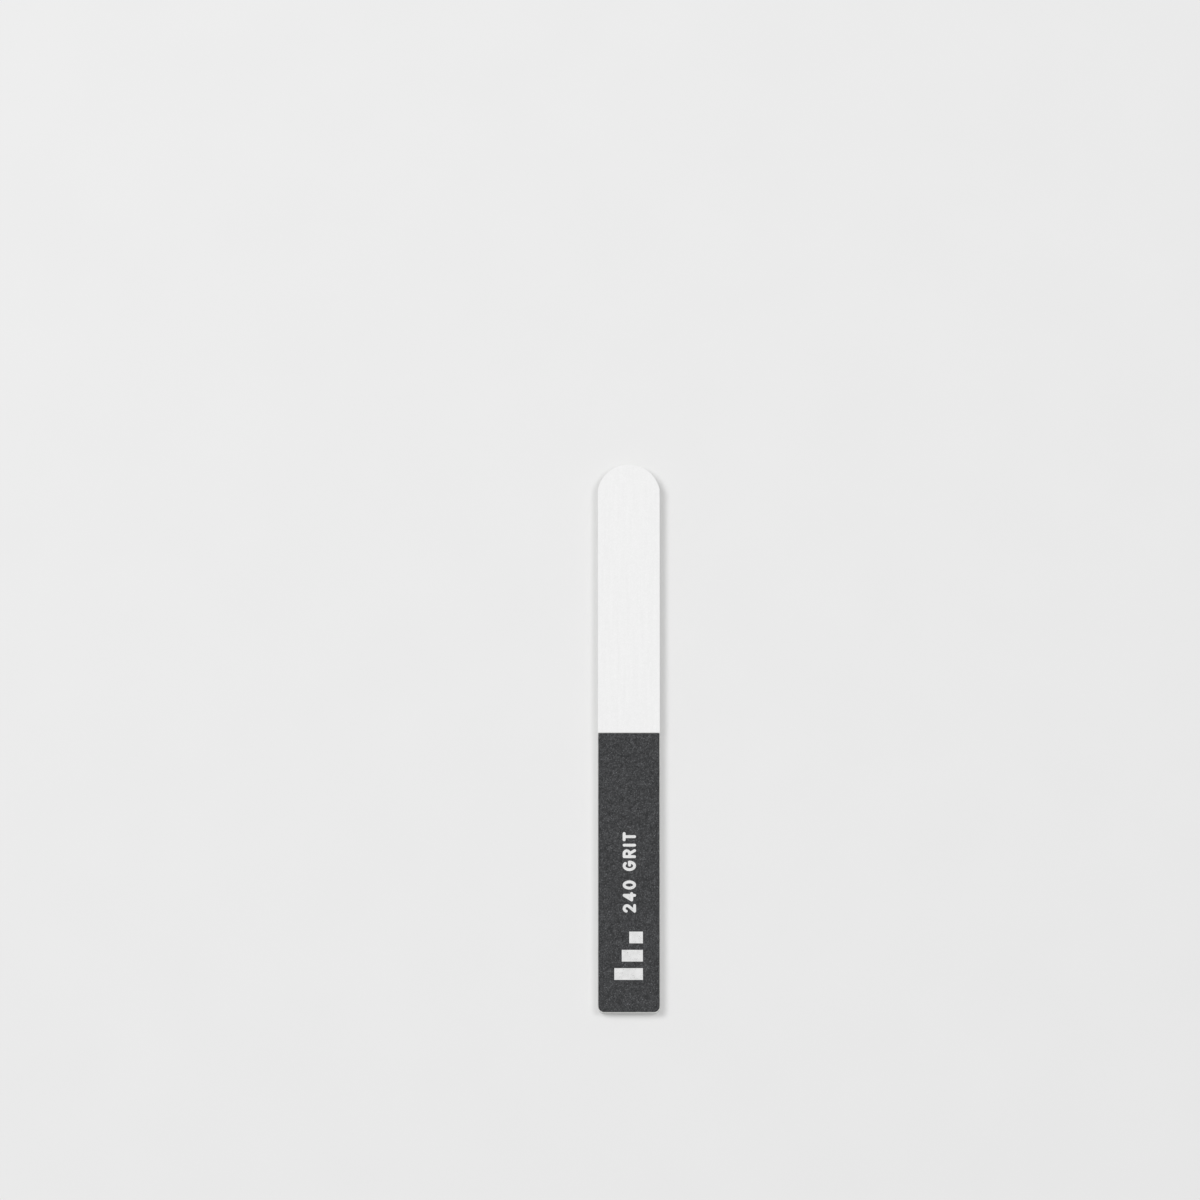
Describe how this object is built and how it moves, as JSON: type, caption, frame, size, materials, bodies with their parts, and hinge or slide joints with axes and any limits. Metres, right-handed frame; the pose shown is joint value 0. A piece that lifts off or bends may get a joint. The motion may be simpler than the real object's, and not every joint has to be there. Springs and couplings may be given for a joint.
{
  "type": "sanding stick",
  "caption": "Flat cushioned sanding stick with one round end: a coarse dark sheet and a fine white sheet meet at a seam on the front, over foam and a stiff core.",
  "frame": {"origin": "middle of the underside, which is the polishing face the stick lies on", "axes": "+Y along the stick towards its round end, +Z out of the two-sheet front face, +X across the stick"},
  "size_m": [0.02, 0.178, 0.0041],
  "materials": {
    "shaping_grit": "matte",
    "shaping_paper": "matte",
    "buffing_grit": "matte",
    "buffing_paper": "matte",
    "polishing_coat": "satin",
    "polishing_film": "satin",
    "foam": "matte",
    "tape": "gloss",
    "core": "satin"
  },
  "bodies": {
    "root": {"polishing_coat": "polishing_coat", "polishing_film": "polishing_film", "polishing_sheet_tape": "tape", "foam_pad_rear": "foam", "core_tape_rear": "tape", "core_board": "core", "core_tape_front": "tape", "foam_pad_front": "foam", "shaping_sheet_tape": "tape", "shaping_paper": "shaping_paper", "shaping_grit": "shaping_grit", "buffing_sheet_tape": "tape", "buffing_paper": "buffing_paper", "buffing_grit": "buffing_grit"}
  },
  "joints": []
}
